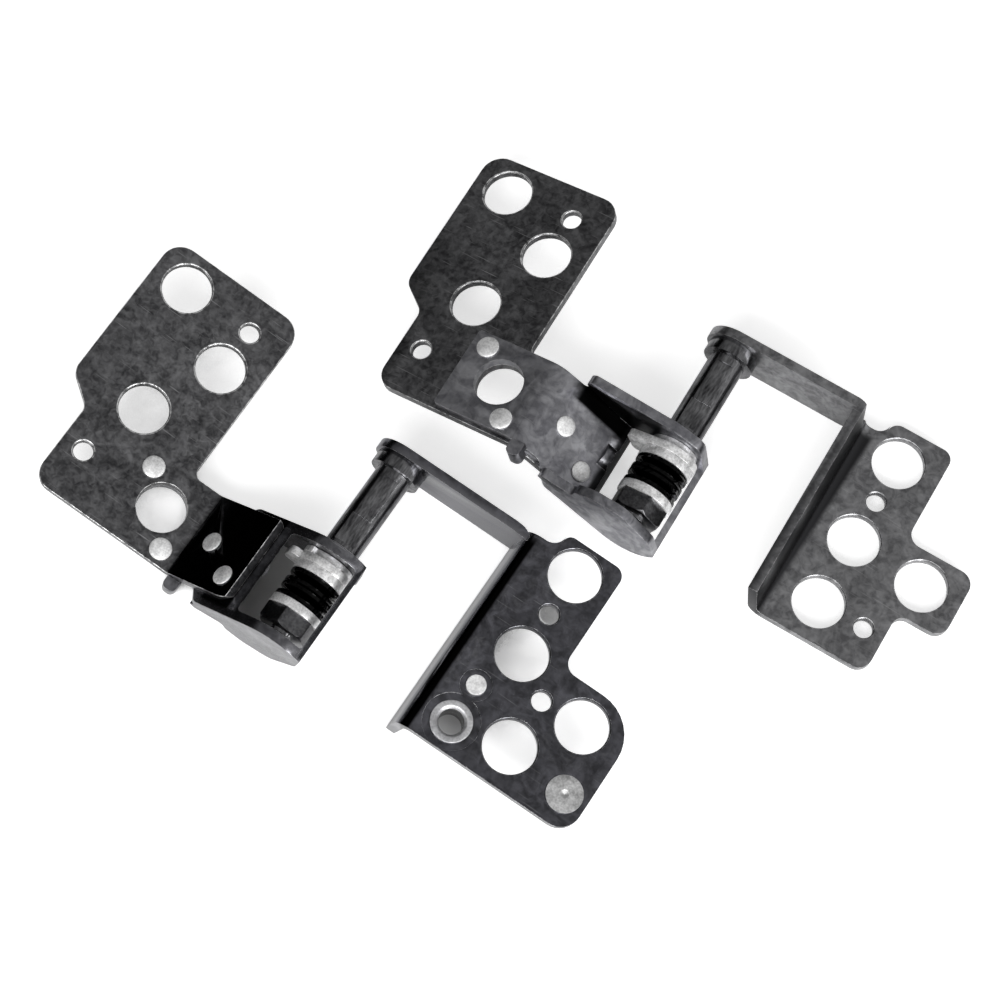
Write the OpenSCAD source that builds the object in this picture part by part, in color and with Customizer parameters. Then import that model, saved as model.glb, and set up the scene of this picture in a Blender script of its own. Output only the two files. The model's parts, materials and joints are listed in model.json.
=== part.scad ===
// A pair of friction hinges for a laptop lid, lying loose on a flat surface.
// Each hinge has its own frame: the shaft lies along Y with its axis at x = 0 and z = 0, and y = 0 is the
// outer face of the ear that the shaft leaves. The clutch side is at -X, the arm side at +X.
// The left hinge lies with its clutch plate under the shaft. The right hinge is its mirror image.

/* [Sheet] */
// Thickness of the clutch plate and the clutch bracket
sheet_t = 1.0; // [0.8:0.05:1.2]
// Thickness of the arm bracket
arm_t = 1.0; // [0.8:0.05:1.2]
// Bend radius on the inner side of each fold
bend_r = 0.8; // [0.5:0.1:1.2]

/* [Clutch plate] */
// Distance from the shaft axis to the fold of the bracket
bend_x = 12.3; // [11.8:0.1:12.8]
// Width of the plate across its wide end
plate_w = 15.9; // [15.4:0.1:17]
// Length of the plate along the shaft
plate_len = 28.8; // [27:0.1:30]
// Gap between the plate's wide end and the fold of its tongue
neck_w = 3.6; // [3:0.1:4.2]
// Height of the shaft axis above the middle of the plate
axis_h = 5.8; // [5.6:0.1:6]
// Radius of the four screw holes
plate_hole_r = 2.55; // [2.2:0.05:2.6]
// Radius of the two locating holes
peg_hole_r = 1.0; // [0.7:0.05:1.2]
// Width of the tongue along the shaft
tongue_w = 9.6; // [9:0.1:9.8]
// Length of the tongue up its slope
tongue_len = 9.1; // [8.4:0.1:9.4]

/* [Clutch bracket] */
// Length of the housing over both ears
housing_len = 11.5; // [11.3:0.1:12.6]
// Gap between the washers and the curled roof
curl_gap = 0.2; // [0.15:0.05:0.4]
// Depth of the ears below the shaft axis
ear_depth = 4.6; // [4.4:0.1:5]

/* [Shaft and washers] */
// Diameter of the shaft
shaft_d = 3.8; // [3.4:0.1:4]
// Radial clearance of the shaft in its ear
shaft_clear = 0.05; // [0.02:0.01:0.1]
// Diameter of the threaded tail
tail_d = 3.0; // [2.8:0.1:3.2]
// Distance across the two flats of the tail
flats_w = 2.2; // [2:0.1:2.4]
// Diameter of the washers
washer_d = 5.8; // [5.6:0.1:6]
// Thickness of the stop washer
stop_t = 0.7; // [0.5:0.05:0.9]
// Thickness of the friction plate
friction_t = 0.8; // [0.5:0.05:0.9]
// Thickness of each plain washer
washer_t = 0.9; // [0.6:0.05:1]
// Thickness of each spring washer as it sits in the stack
spring_t = 0.62; // [0.5:0.02:0.64]
// Dish of each spring washer
spring_dish = 0.22; // [0.1:0.02:0.3]
// Thickness of the lock nut
nut_t = 1.9; // [1.4:0.1:2]
// Width of the lock nut across its flats
nut_w = 5.0; // [4.6:0.1:5.2]
// Axial gap between neighbours in the stack
stack_gap = 0.02; // [0.01:0.01:0.04]

/* [Arm] */
// Distance from the clutch ear to the arm's strip
arm_reach = 11.3; // [10.8:0.1:12]
// Distance from the shaft axis to the lower edge of the arm's wall
wall_x = 13.4; // [13:0.1:14.2]
// Flare of the wall from its lower edge towards the arm plate, in degrees
wall_flare = 8; // [0:0.5:12]
// Height of the strip and the wall
arm_h = 6.2; // [6:0.1:6.6]
// Outer bend radius between the wall and the arm plate
arm_bend_r = 1.9; // [1.6:0.1:2.2]
// Length of the wall along the shaft
wall_len = 23.2; // [22:0.1:24]
// Width of the left arm plate beside its fold
left_plate_w = 17.8; // [17:0.1:19]
// Width of the right arm plate beside its fold
right_plate_w = 16.4; // [16:0.1:18]
// Radius of the screw holes in the arm plates
arm_hole_r = 2.7; // [2.3:0.05:2.8]
// Diameter of the collar against the strip
collar_d = 5.4; // [4.8:0.1:5.8]
// Thickness of the collar
collar_t = 1.4; // [1:0.1:1.8]

/* [Rivets and insert] */
// Radius of the rivet heads on the clutch plate
rivet_r = 1.15; // [0.9:0.05:1.2]
// Height of every rivet head
rivet_h = 0.25; // [0.15:0.05:0.35]
// Radius of the threaded insert's ring
insert_r = 2.1; // [1.9:0.1:2.3]
// Radius of the insert's tapped hole, an M3 thread at its minor diameter
insert_hole_r = 1.25; // [1.2:0.05:1.3]
// Depth of the insert below the arm plate
insert_depth = 2.2; // [1.5:0.1:2.4]
// Radius of the stud head in the arm plate's far corner
stud_r = 1.85; // [1.5:0.05:2]

/* [Lie of the pair] */
// Lean of the left clutch side towards its arm, in degrees
left_lean = 12.5; // [10:0.5:14]
// Lean of the left arm, in degrees
left_arm_lean = 7; // [5:0.5:10]
// Lean of the right clutch side away from its arm, in degrees
right_lean = 12.5; // [10:0.5:14]
// Lean of the right arm, in degrees
right_arm_lean = 1.5; // [0:0.5:4]
// Turn of the right hinge against the left one, in degrees
right_turn = 2.5; // [0:0.5:5]
// Step from the left shaft's axis to the right one
pair_step = 21.6; // [20:0.1:24]
// Gap between the left arm plate's lug and the right clutch ear
pair_gap = 3.5; // [2.4:0.1:4]

/* [Hidden] */
$fn = 64;
black = [0.13, 0.13, 0.14];
dark = [0.3, 0.3, 0.32];
steel = [0.62, 0.62, 0.63];
bright = [0.82, 0.82, 0.83];
arc_steps = 8;
through = 20;
// Height of each shaft axis above the surface, and the shift that centres the pair
left_axis_z = 4.9003;
right_axis_z = 4.2003;
pair_shift = [-10.56, -17.639, 0];
// The bracket's sheet lies under the plate and against the tongue, then curls over the washers.
// Its slope meets the curl without a kink, and the tongue's fold is one sheet inside the bracket's.
plate_z = -axis_h;
flange_z = plate_z - sheet_t;
curl_r = washer_d / 2 + curl_gap + sheet_t / 2;
fold_dist = sqrt(bend_x * bend_x + flange_z * flange_z);
slope_deg = atan2(-flange_z, bend_x) + asin(curl_r / fold_dist);
fold_x = -bend_x - sheet_t * tan(slope_deg / 2);

// Clutch plate: each feature has its place as a share of the plate's width and length
tongue_y = -(housing_len - tongue_w) / 3;
plate_low_y = tongue_y - tongue_w;
plate_right = fold_x - neck_w;
plate_left = plate_right - plate_w;
plate_top_y = plate_low_y + plate_len;
notch_y = plate_low_y + 0.396 * plate_len;
heel_left = plate_left + 0.2 * plate_w;
function on_plate(u, v) = [plate_left + u * plate_w, plate_low_y + v * plate_len];
screw_holes = [on_plate(0.252, 0.873), on_plate(0.73, 0.705), on_plate(0.497, 0.427)];
riveted_hole = on_plate(0.959, 0.177);
peg_holes = [on_plate(0.742, 0.873), on_plate(0.355, 0.181)];
plate_rivets = [on_plate(0.767, 0.278), on_plate(1.107, 0.056)];
// Tongue rivets as shares of the tongue's length and width
function on_tongue(u, v) = [u * tongue_len, plate_low_y + v * tongue_w];
tongue_rivets = [on_tongue(0.348, 0.494), on_tongue(0.785, 0.216)];

// Clutch bracket
flange_left = on_plate(0.654, 0)[0];
curl_end_deg = 42;
window_u = tongue_len + 1.3;
window_left = -bend_x + window_u * cos(slope_deg);
window_right = 0.68 * curl_r;

// Stack along the shaft, from the shaft ear to the lock nut. The thicknesses given at the top are
// for a housing of the drawn length; in another one the whole stack is fitted to the room it has.
end_room = 0.95;
spring_nest = 0.05;
stack_nominal = stop_t + friction_t + 2 * washer_t + 4 * (spring_t + spring_dish - spring_nest) + nut_t;
stack_room = housing_len - 2 * sheet_t - 6 * stack_gap - end_room;
stack_fit = stack_room / stack_nominal;
stop_y = -sheet_t - stack_gap;
friction_y = stop_y - stop_t * stack_fit - stack_gap;
inner_y = friction_y - friction_t * stack_fit - stack_gap;
spring_y = inner_y - washer_t * stack_fit - stack_gap;
spring_pitch = (spring_t + spring_dish - spring_nest) * stack_fit;
outer_y = spring_y - 4 * spring_pitch - stack_gap;
nut_y = outer_y - washer_t * stack_fit - stack_gap;
nut_len = nut_t * stack_fit;
tail_end_y = nut_y - nut_len - end_room / 3;

// Arm: the strip, the wall and the plate are one folded sheet
wall_low_y = arm_reach + arm_t - wall_len;
wall_mid = wall_x + arm_t / 2;
fold_mid = wall_mid + (arm_h - arm_t / 2) * tan(wall_flare);
flat_x = fold_mid + (arm_bend_r - arm_t / 2) * tan(45 - wall_flare / 2);
arm_top_z = arm_h / 2;

// Geometry helpers for outlines with rounded corners
function unit(v) = v / norm(v);
function left_of(v) = [-v[1], v[0]];
function arc(c, r, a0, da) = [for (i = [0:arc_steps]) c + r * [cos(a0 + da * i / arc_steps), sin(a0 + da * i / arc_steps)]];
function turn_of(a, b) = a[0] * b[1] - a[1] * b[0];
function xy(p) = [p[0], p[1]];

// One corner of a path: the arc at distance off to the left of the path, for a corner of radius r
function corner_arc(p0, p1, p2, r, off) =
    let (a = unit(p1 - p0), b = unit(p2 - p1), turn = sign(turn_of(a, b)),
        half = acos(max(-1, min(1, a * b))) / 2,
        c = p1 - a * (r * tan(half)) + turn * r * left_of(a),
        from = -turn * left_of(a))
    arc(c, r - turn * off, atan2(from[1], from[0]), turn * 2 * half);

// Closed outline from corners of the form [x, y, radius]
function outline(pts) =
    let (n = len(pts))
    [for (i = [0:n - 1]) let (p = pts[i], q = pts[(i + n - 1) % n], s = pts[(i + 1) % n])
        each (len(p) < 3 || p[2] == 0 ? [xy(p)] : corner_arc(xy(q), xy(p), xy(s), p[2], 0))];

// One side of a bent sheet whose middle line has corners [x, y, radius]
function bent_side(pts, off) =
    let (n = len(pts), first = unit(xy(pts[1]) - xy(pts[0])), last = unit(xy(pts[n - 1]) - xy(pts[n - 2])))
    concat([xy(pts[0]) + off * left_of(first)],
        [for (i = [1:n - 2]) each corner_arc(xy(pts[i - 1]), xy(pts[i]), xy(pts[i + 1]), pts[i][2], off)],
        [xy(pts[n - 1]) + off * left_of(last)]);
function backwards(v) = [for (i = [len(v) - 1:-1:0]) v[i]];
function bent_sheet(pts, t) = concat(bent_side(pts, t / 2), backwards(bent_side(pts, -t / 2)));

// Middle lines in the X-Z plane
mid_r = bend_r + sheet_t / 2;
plate_line = [[plate_right - 2, plate_z], [fold_x, plate_z, mid_r],
    [fold_x + tongue_len * cos(slope_deg), plate_z + tongue_len * sin(slope_deg)]];
bracket_line = [[flange_left, flange_z], [-bend_x, flange_z, mid_r + sheet_t],
    [-curl_r * sin(slope_deg), curl_r * cos(slope_deg)]];
roof_edge = concat(bent_side(bracket_line, sheet_t / 2),
    arc([0, 0], curl_r + sheet_t / 2, 90 + slope_deg, curl_end_deg - 90 - slope_deg));
roof_inside = concat(bent_side(bracket_line, -sheet_t / 2),
    arc([0, 0], curl_r - sheet_t / 2, 90 + slope_deg, curl_end_deg - 90 - slope_deg));

// Extrudes an X-Z outline along Y, from y = low upwards
module along_y(low, length) {
    translate([0, low + length, 0]) rotate([90, 0, 0]) linear_extrude(length) children();
}
// A round bar along Y, from y = low upwards
module bar_y(low, length, r) {
    translate([0, low, 0]) rotate([-90, 0, 0]) cylinder(h = length, r = r);
}
// A drilled hole along Z with a small chamfer on both faces
module drilled(at, r, z0, t) {
    edge = 0.12;
    translate([at[0], at[1], z0 - 1]) cylinder(h = t + 2, r = r);
    translate([at[0], at[1], z0 + t - edge]) cylinder(h = edge + 0.01, r1 = r, r2 = r + edge);
    translate([at[0], at[1], z0 - 0.01]) cylinder(h = edge + 0.01, r1 = r + edge, r2 = r);
}
// A screw hole drilled straight through the plate and the bracket under it
module through_hole(at) {
    translate([at[0], at[1], flange_z - sheet_t]) cylinder(h = 3 * sheet_t, r = plate_hole_r);
}
// Puts a child on the slope: u up the slope from the fold, off the tongue's middle
module on_slope(u, y) {
    translate([fold_x, y, plate_z]) rotate([0, -slope_deg, 0]) translate([u, 0, 0]) children();
}
// A rivet along Z with a low head at each end, from z = z0 to z = z1
module rivet(r, z0, z1) {
    crown = 0.3;
    translate([0, 0, z0]) cylinder(h = z1 - z0, r = r * 0.62);
    translate([0, 0, z1]) cylinder(h = rivet_h * 0.6, r = r);
    translate([0, 0, z1 + rivet_h * 0.6]) cylinder(h = rivet_h * 0.4, r1 = r, r2 = r - crown);
    translate([0, 0, z0 - rivet_h * 0.6]) cylinder(h = rivet_h * 0.6, r = r);
    translate([0, 0, z0 - rivet_h]) cylinder(h = rivet_h * 0.4, r1 = r - crown, r2 = r);
}

// Clutch side
module plate_outline() {
    polygon(outline([[plate_left, plate_top_y, 2.2], [plate_left, notch_y, 1.6], [heel_left, notch_y - 2.4, 1.4],
        [heel_left, plate_low_y, 1.9], [plate_right + 1.2, plate_low_y, 0], [plate_right + 1.2, tongue_y, 0],
        [plate_right, tongue_y, 0.9], [plate_right, plate_top_y, 2.2]]));
}
module clutch_plate() {
    difference() {
        union() {
            translate([0, 0, plate_z - sheet_t / 2]) linear_extrude(sheet_t) plate_outline();
            intersection() {
                along_y(plate_low_y, tongue_w) polygon(bent_sheet(plate_line, sheet_t));
                tongue_limit();
            }
        }
        for (h = screw_holes) drilled(h, plate_hole_r, plate_z - sheet_t / 2, sheet_t);
        through_hole(riveted_hole);
        for (h = peg_holes) drilled(h, peg_hole_r, plate_z - sheet_t / 2, sheet_t);
        for (h = plate_rivets) translate([h[0], h[1], -through]) cylinder(h = through, r = rivet_r * 0.62);
        for (h = tongue_rivets) on_slope(h[0], h[1]) translate([0, 0, -2]) cylinder(h = 4, r = rivet_r * 0.62);
    }
}
// Plan outline that rounds the tongue's end corners
module tongue_limit() {
    end_x = fold_x + tongue_len * cos(slope_deg) + 0.5;
    translate([0, 0, -through / 2]) linear_extrude(through)
        polygon(outline([[plate_right - 1, plate_low_y], [end_x, plate_low_y, 1.6], [end_x, tongue_y, 0.8],
            [plate_right - 1, tongue_y]]));
}
// Ear: a web under the roof's outer edge, from the slope's foot to the roof's end, with a given free edge
roof_end = (curl_r + sheet_t / 2) * [cos(curl_end_deg), sin(curl_end_deg)];
flange_low = flange_z - sheet_t / 2;
// The shaft ear's free edge rises straight from the flange's level
shaft_ear_edge = [[roof_end[0] + 0.2, -0.5 * ear_depth, 1.8], [0.5, -0.9 * ear_depth, 2.4],
    [-0.7 * bend_x, flange_low + 0.4, 0.8], [-0.78 * bend_x, flange_low + 1.4, 0.6]];
// The end ear is shallow beside the slope and bulges below the nut
end_ear_edge = [[roof_end[0] - 0.1, -0.06 * ear_depth, 1.4], [0.4, -0.93 * ear_depth, 2.2],
    [-0.72 * curl_r, -1.14 * ear_depth, 2], [-0.39 * bend_x, -1.06 * ear_depth, 0.8],
    [-0.43 * bend_x, -0.82 * ear_depth, 0.5], [-0.7 * bend_x, -1.14 * ear_depth, 0.4],
    [-0.74 * bend_x, -1.02 * ear_depth]];
module ear_outline(edge) {
    from_x = edge[len(edge) - 1][0] + 0.3;
    on_ear = [for (p = roof_edge) if (p[0] > from_x) p];
    free_edge = outline(concat([[roof_end[0], roof_end[1]]], edge, [[0, 0]]));
    polygon(concat(on_ear, [for (p = free_edge) if (norm(p) > 0.01) p]));
}
module bracket_plan() {
    wide_x = -bend_x + 2.6;
    polygon(outline([[flange_left, plate_low_y + 0.25, 0.4], [wide_x, plate_low_y + 0.25, 0.6],
        [wide_x + 0.8, -housing_len, 0.6], [curl_r + sheet_t, -housing_len], [curl_r + sheet_t, 0],
        [wide_x + 0.8, 0, 0.6], [wide_x, tongue_y - 0.15, 0.6], [flange_left, tongue_y - 0.15, 0.4]]));
}
module clutch_bracket() {
    difference() {
        union() {
            intersection() {
                along_y(-housing_len, housing_len) polygon(concat(roof_edge, backwards(roof_inside)));
                translate([0, 0, -through / 2]) linear_extrude(through) bracket_plan();
            }
            along_y(-sheet_t, sheet_t) ear_outline(shaft_ear_edge);
            along_y(-housing_len, sheet_t) ear_outline(end_ear_edge);
            stiffening_bead();
            locating_tab();
        }
        window();
        bar_y(-sheet_t - 1, sheet_t + 2, shaft_d / 2 + shaft_clear);
        through_hole(riveted_hole);
        for (h = plate_rivets) translate([h[0], h[1], -through]) cylinder(h = through, r = rivet_r * 0.62);
        for (h = tongue_rivets) on_slope(h[0], h[1]) translate([0, 0, -3]) cylinder(h = 4, r = rivet_r * 0.62);
    }
}
// Opening in the roof that the washers show through
module window() {
    margin = 0.02;
    translate([0, 0, -1]) linear_extrude(through) polygon(outline([
        [window_left, -housing_len + sheet_t + margin, 0.4], [window_right, -housing_len + sheet_t + margin, 0.4],
        [window_right, -sheet_t - margin, 0.4], [window_left, -sheet_t - margin, 0.4]]));
}
// Half-round bead pressed into the slope at the window's edge
module stiffening_bead() {
    bead_r = 1.5;
    bead_len = 1.9;
    bead_drop = 0.35;
    on_bracket_slope(window_u - bead_len, -housing_len * 0.45) intersection() {
        translate([0, 0, bead_drop]) rotate([0, 90, 0]) cylinder(h = bead_len + 1, r = bead_r);
        translate([0, -bead_r, -2 * bead_r]) cube([bead_len + 0.5, 2 * bead_r, 2 * bead_r]);
    }
}
// Puts a child on the middle of the bracket's slope, u up from the fold
module on_bracket_slope(u, y) {
    translate([-bend_x, y, flange_z]) rotate([0, -slope_deg, 0]) translate([u, 0, 0]) children();
}
// Small tab folded round the plate's edge beside the tongue
module locating_tab() {
    tab_w = 1.5;
    tab_out = 1.3;
    translate([-bend_x - 0.2, plate_low_y - tab_out / 2, flange_z - sheet_t / 2])
        linear_extrude(2 * sheet_t) polygon(outline([[0, -tab_out / 2, 0.6], [tab_w, -tab_out / 2, 0.6],
            [tab_w, tab_out / 2 - 0.05], [0, tab_out / 2 - 0.05]]));
    translate([-bend_x - 0.2, plate_low_y - 0.05, flange_z - sheet_t / 2]) cube([tab_w, 0.4, sheet_t]);
}
module plate_rivet_pair() {
    for (h = plate_rivets) translate([h[0], h[1], 0]) rivet(rivet_r, flange_z - sheet_t / 2, plate_z + sheet_t / 2);
}
module tongue_rivet_pair() {
    for (h = tongue_rivets) on_slope(h[0], h[1])
        rivet(rivet_r * 0.92, -sheet_t * 1.5, sheet_t / 2);
}

// Shaft and stack
module double_d(r, w) {
    intersection() {
        circle(r = r);
        square([w, 4 * r], center = true);
    }
}
module ring(high, t, r, bore) {
    translate([0, high, 0]) rotate([90, 0, 0]) linear_extrude(t) difference() {
        circle(r = r);
        double_d(bore / 2, flats_w + 0.1);
    }
}
module shaft() {
    // Two milled flats, each in two steps along the shaft
    mill = [0.34, 0.24];
    bare = arm_reach - collar_t;
    mill_from = [0.1 * bare, 0.42 * bare];
    mill_to = [0.42 * bare, 0.91 * bare];
    difference() {
        union() {
            bar_y(-sheet_t - stack_gap / 2, arm_reach - collar_t + sheet_t + stack_gap / 2, shaft_d / 2);
            bar_y(arm_reach - collar_t, collar_t, collar_d / 2);
            bar_y(arm_reach, arm_t, tail_d / 2);
            translate([0, arm_reach + arm_t, 0]) rotate([-90, 0, 0]) cylinder(h = 0.35, r1 = tail_d / 2 + 0.35, r2 = tail_d / 2 - 0.1);
            translate([0, -sheet_t, 0]) rotate([90, 0, 0]) linear_extrude(-tail_end_y - sheet_t) double_d(tail_d / 2, flats_w);
        }
        for (side = [-1, 1], i = [0, 1]) translate([-shaft_d, mill_from[i], side * (shaft_d - mill[i]) - shaft_d / 2])
            cube([2 * shaft_d, mill_to[i] - mill_from[i] + 0.01, shaft_d]);
    }
}
module stop_washer() {
    lug_w = 1.7;
    lug_reach = washer_d / 2 + 0.1;
    translate([0, stop_y, 0]) rotate([90, 0, 0]) linear_extrude(stop_t * stack_fit) difference() {
        union() {
            circle(r = washer_d / 2 - 0.35);
            intersection() {
                circle(r = lug_reach);
                rotate(150) translate([0, -lug_w / 2]) square([lug_reach, lug_w]);
            }
        }
        double_d(tail_d / 2 + 0.05, flats_w + 0.1);
    }
}
// Held still by a tail that drops beside the bracket's slope
module friction_plate() {
    rim = washer_d / 2 + 0.1;
    translate([0, friction_y, 0]) rotate([90, 0, 0]) linear_extrude(friction_t * stack_fit) difference() {
        union() {
            circle(r = rim);
            polygon(outline([[-1.48 * rim, -0.8 * rim, 0.24 * rim], [0, -rim], [0, 0.2 * rim], [-1.34 * rim, 0.2 * rim, 0.24 * rim]]));
        }
        circle(r = tail_d / 2 + 0.06);
    }
}
module inner_washer() { ring(inner_y, washer_t * stack_fit, washer_d / 2, tail_d + 0.1); }
module outer_washer() { ring(outer_y, washer_t * stack_fit, washer_d / 2, tail_d + 0.1); }
// One dished spring washer; neighbours face each other in turn
module spring_washer(i) {
    bore = tail_d / 2 + 0.06;
    rim = washer_d / 2 - 0.05;
    low = spring_y - (i + 1) * spring_pitch + stack_gap / 2;
    dish = spring_dish * stack_fit;
    t = spring_pitch - dish - stack_gap;
    inner = i % 2 == 0 ? 0 : dish;
    outer = i % 2 == 0 ? dish : 0;
    translate([0, low, 0]) rotate([-90, 0, 0]) rotate_extrude()
        polygon([[bore, inner], [rim - 0.12, outer], [rim, outer + 0.1], [rim, outer + t - 0.1],
            [rim - 0.12, outer + t], [bore, inner + t]]);
}
module lock_nut() {
    chamfer_r = nut_w / 2 + 0.1;
    difference() {
        intersection() {
            translate([0, nut_y - nut_len, 0]) rotate([-90, 0, 0]) rotate([0, 0, 15])
                cylinder(h = nut_len, r = nut_w / 2 / cos(30), $fn = 6);
            translate([0, nut_y - nut_len, 0]) rotate([-90, 0, 0])
                cylinder(h = nut_len, r1 = chamfer_r, r2 = chamfer_r + nut_len);
        }
        translate([0, nut_y + 1, 0]) rotate([90, 0, 0]) linear_extrude(nut_len + 2)
            double_d(tail_d / 2 + 0.02, flats_w + 0.04);
    }
}

// Arm bracket: strip with an eye, wall and plate from one sheet
module arm_strip_and_wall() {
    corner_x = fold_mid + arm_t / 2;
    intersection() {
        union() {
            along_y(arm_reach, arm_t) arm_strip_outline();
            along_y(wall_low_y, wall_len) polygon(bent_sheet(wall_line, arm_t));
        }
        // Plan outline that rounds the corner between strip and wall
        translate([0, 0, -through / 2]) linear_extrude(through) polygon(outline([[-arm_h, wall_low_y],
            [corner_x, wall_low_y], [corner_x, arm_reach + arm_t, bend_r + arm_t], [-arm_h, arm_reach + arm_t]]));
    }
}
// The strip runs from the eye to the wall's middle and ends below the fold
module arm_strip_outline() {
    circle(r = arm_h / 2);
    polygon([[0, -arm_h / 2], [wall_mid, -arm_h / 2], [fold_mid, arm_h / 2 - arm_t / 2], [fold_mid - arm_bend_r, arm_h / 2],
        [0, arm_h / 2]]);
}
// Middle line of the wall, up to the fold into the plate
wall_line = [[wall_mid, -arm_h / 2], [fold_mid, arm_top_z - arm_t / 2, arm_bend_r - arm_t / 2],
    [flat_x + 0.5, arm_top_z - arm_t / 2]];
module arm_plate_sheet(pts) {
    // The fold from the wall into the plate, then the flat plate
    intersection() {
        along_y(wall_low_y, wall_len) polygon(bent_sheet(wall_line, arm_t));
        translate([fold_mid - arm_t / 2, wall_low_y, arm_top_z - arm_bend_r]) cube([arm_bend_r + arm_t, wall_len, arm_bend_r + 1]);
    }
    translate([flat_x, wall_low_y, arm_top_z - arm_t]) linear_extrude(arm_t) polygon(outline(pts));
}
// Arm plates: places as shares of the plate's width and of the wall's length
lug_top = wall_len + 1.8;
lug_w = 0.482 * left_plate_w;
function on_arm(w, pts) = [for (p = pts) [p[0] * w, p[1] * wall_len]];
left_plate_corners = [[0, 0], [left_plate_w, 0, 2.2], [left_plate_w, 0.578 * wall_len, 4.5],
    [lug_w, 0.578 * wall_len, 1.4], [lug_w, lug_top, 1.2], [1.7, lug_top, 0.9], [1.7, wall_len, 1.4], [0, wall_len]];
right_plate_corners = [[0, 0], [0.695 * right_plate_w, 0, 1.5], [0.695 * right_plate_w, 0.306 * wall_len, 1.2],
    [right_plate_w, 0.306 * wall_len, 1.5], [right_plate_w, 0.621 * wall_len, 1.5], [lug_w, 0.621 * wall_len, 1.4],
    [lug_w, lug_top, 1.2], [1.5, lug_top, 1.2], [1.5, wall_len, 1.3], [0, wall_len]];
left_arm_holes = on_arm(left_plate_w, [[0.258, 0.940], [0.258, 0.530], [0.482, 0.176], [0.746, 0.418]]);
left_peg_holes = on_arm(left_plate_w, [[0.258, 0.737], [0.487, 0.410]]);
right_arm_holes = on_arm(right_plate_w, [[0.248, 0.914], [0.248, 0.500], [0.248, 0.176], [0.737, 0.469]]);
right_peg_holes = on_arm(right_plate_w, [[0.248, 0.706], [0.559, 0.173]]);
insert_at = [2.6, 2.9];
arm_rivet_at = [insert_at[0], insert_at[1] + insert_r + 2.2];
stud_at = [left_plate_w - 2.4, 3.2];

module on_arm_plate(p) { translate([flat_x + p[0], wall_low_y + p[1], 0]) children(); }
module arm_bracket(corners, holes, pegs) {
    difference() {
        union() {
            arm_strip_and_wall();
            arm_plate_sheet(corners);
        }
        bar_y(arm_reach - 1, arm_t + 2, tail_d / 2);
        for (h = holes) drilled([flat_x + h[0], wall_low_y + h[1]], arm_hole_r, arm_top_z - arm_t, arm_t);
        for (h = pegs) drilled([flat_x + h[0], wall_low_y + h[1]], peg_hole_r, arm_top_z - arm_t, arm_t);
        children();
    }
}
module left_arm_recesses() {
    coin = 0.2;
    on_arm_plate(insert_at) translate([0, 0, arm_top_z - coin]) cylinder(h = 1, r = insert_r + 0.75);
    on_arm_plate(insert_at) translate([0, 0, 0]) cylinder(h = through, r = insert_r);
    on_arm_plate(arm_rivet_at) translate([0, 0, arm_top_z - coin]) cylinder(h = 1, r = 1.6);
    on_arm_plate(arm_rivet_at) translate([0, 0, 0]) cylinder(h = through, r = 0.7);
    on_arm_plate(stud_at) translate([0, 0, 0]) cylinder(h = through, r = stud_r * 0.6);
}
module threaded_insert() {
    on_arm_plate(insert_at) difference() {
        union() {
            translate([0, 0, arm_top_z - arm_t]) cylinder(h = arm_t, r = insert_r);
            translate([0, 0, arm_top_z - arm_t - insert_depth]) cylinder(h = insert_depth, r = insert_r + 0.3);
        }
        translate([0, 0, -through / 2]) cylinder(h = through, r = insert_hole_r);
        translate([0, 0, arm_top_z - 0.3]) cylinder(h = 0.31, r1 = insert_hole_r, r2 = insert_hole_r + 0.3);
    }
}
module arm_rivet() {
    on_arm_plate(arm_rivet_at) {
        translate([0, 0, arm_top_z - arm_t]) cylinder(h = arm_t - 0.2, r = 0.7);
        translate([0, 0, arm_top_z - 0.2]) cylinder(h = 0.4, r = 1.0);
        translate([0, 0, arm_top_z - arm_t - rivet_h]) cylinder(h = rivet_h, r = 1.2);
    }
}
module arm_stud() {
    dimple = 0.3;
    on_arm_plate(stud_at) difference() {
        union() {
            translate([0, 0, arm_top_z - arm_t]) cylinder(h = arm_t, r = stud_r * 0.6);
            translate([0, 0, arm_top_z]) cylinder(h = rivet_h, r = stud_r);
            translate([0, 0, arm_top_z - arm_t - 0.8]) cylinder(h = 0.8, r = stud_r);
        }
        translate([0, 0, arm_top_z + rivet_h - dimple]) cylinder(h = dimple + 0.01, r1 = 0.02, r2 = 0.45);
    }
}

// Where each hinge's own origin lies in the pair's frame
left_at = pair_shift + [0, 0, left_axis_z];
right_at = pair_shift + [pair_step, arm_reach + arm_t + lug_top - wall_len + housing_len + pair_gap, right_axis_z];

// Lie of each hinge in the pair's frame
module left_clutch() { translate(left_at) rotate([0, left_lean, 0]) children(); }
module left_arm() { translate(left_at) rotate([0, left_arm_lean, 0]) children(); }
module right_clutch() {
    translate(right_at) rotate([0, 0, right_turn]) rotate([0, -right_lean, 0]) mirror([0, 0, 1]) children();
}
module right_arm() {
    translate(right_at) rotate([0, 0, right_turn]) rotate([0, right_arm_lean, 0]) mirror([0, 0, 1]) children();
}

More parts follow.
